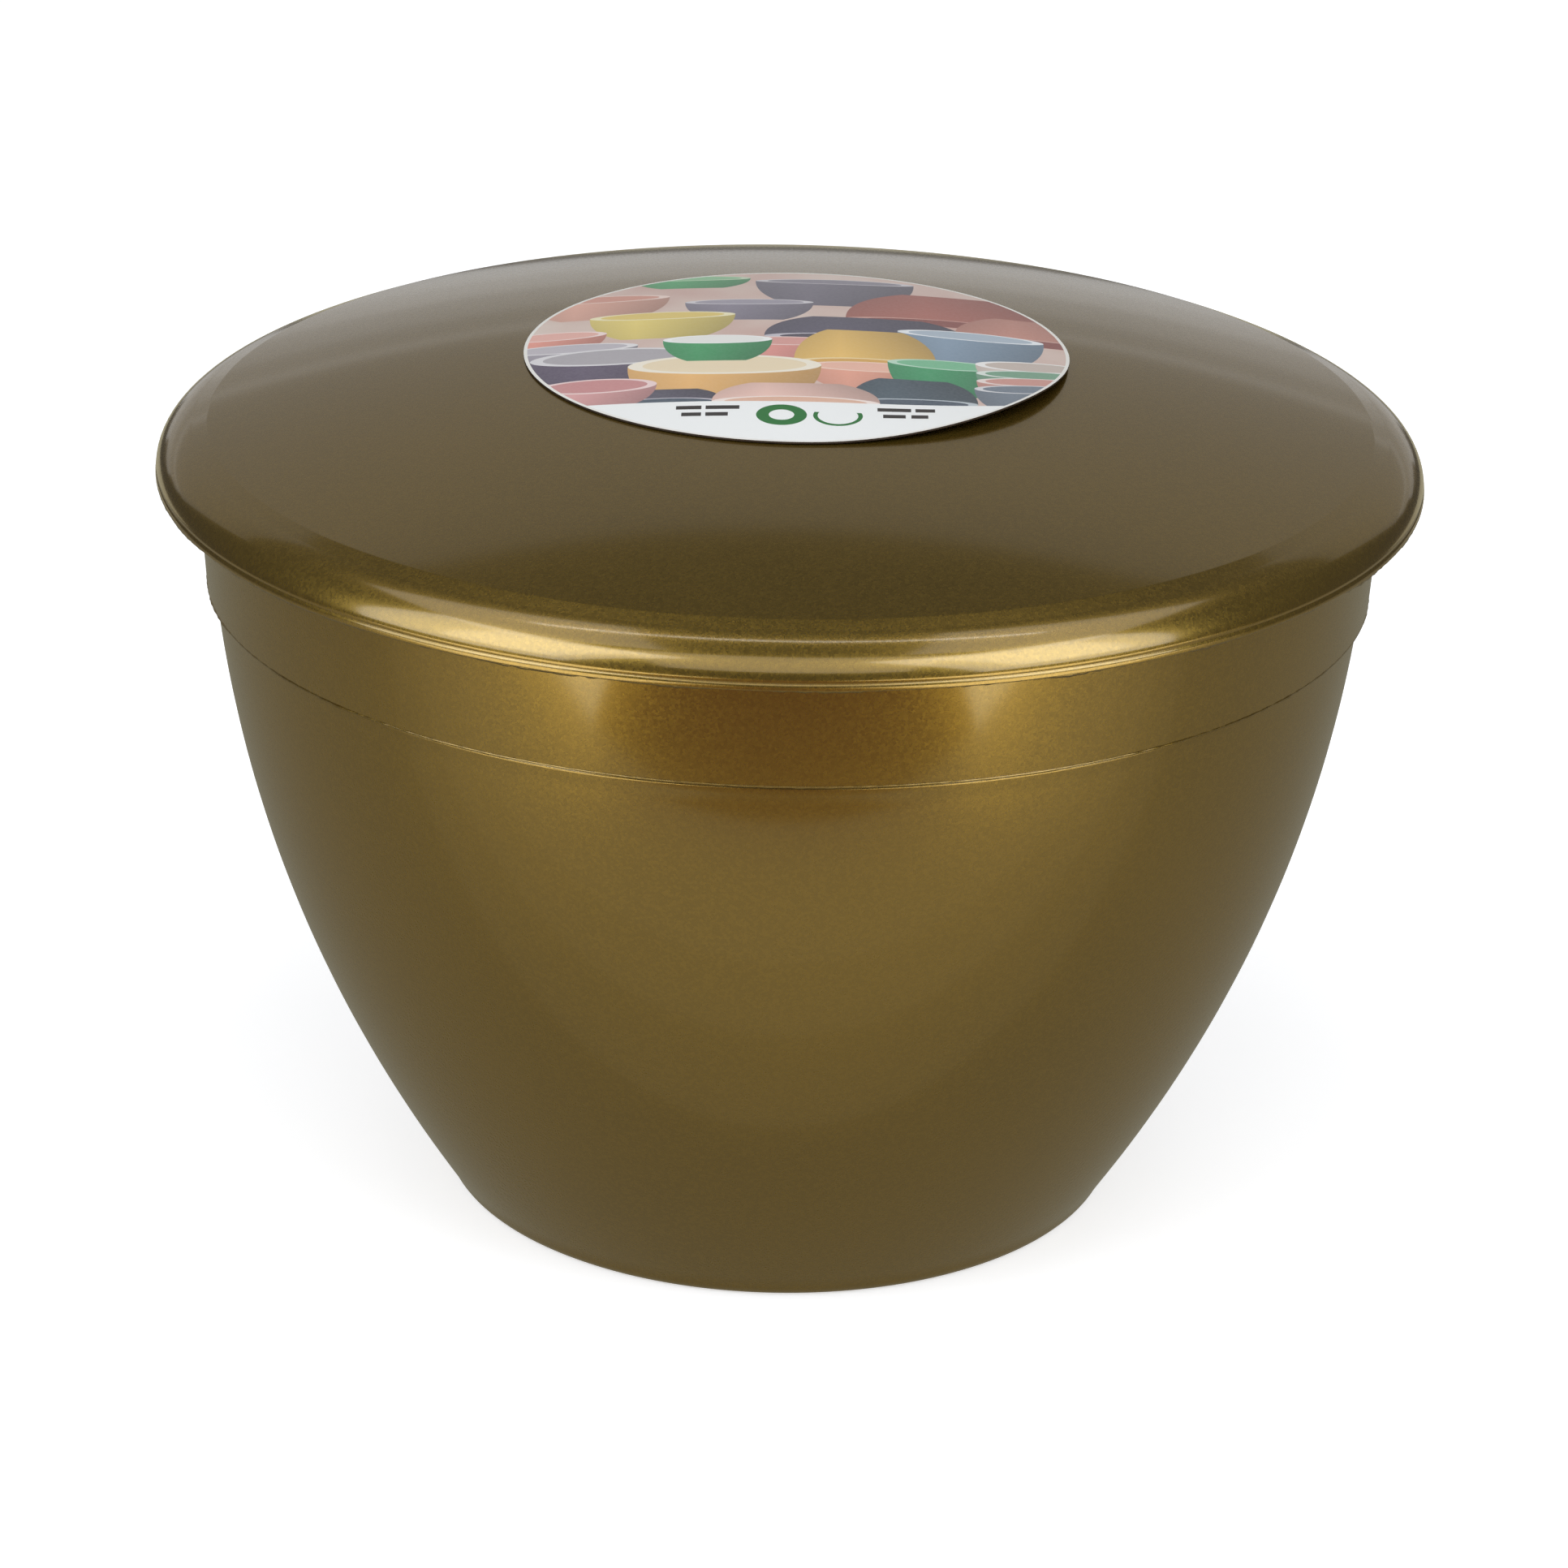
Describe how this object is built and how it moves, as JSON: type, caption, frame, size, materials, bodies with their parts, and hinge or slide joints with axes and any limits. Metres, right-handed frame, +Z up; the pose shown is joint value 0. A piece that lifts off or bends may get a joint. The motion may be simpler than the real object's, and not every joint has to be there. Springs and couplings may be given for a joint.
{
  "type": "pudding basin",
  "caption": "Deep plastic pudding basin with a curved wall, a stacking step and a domed press-on lid that lifts off.",
  "frame": {"origin": "centre of the basin's foot, on the surface that it stands on", "axes": "+Z up along the axis that all three pieces are round about, -Y towards the front of the label"},
  "size_m": [0.146, 0.146, 0.1029],
  "materials": {
    "basin_plastic": "pearlescent gold, satin gloss, fine metallic flake",
    "lid_plastic": "pearlescent gold, satin gloss, fine metallic flake",
    "label_paper": "printed paper with a clear laminate"
  },
  "bodies": {
    "basin": {"basin": "basin_plastic"},
    "lid": {"lid": "lid_plastic", "label": "label_paper"}
  },
  "joints": [
    {"name": "lid_lift", "type": "slide", "parent": "basin", "child": "lid", "axis": [0, 0, 1], "range_m": [0, 0.08]}
  ]
}
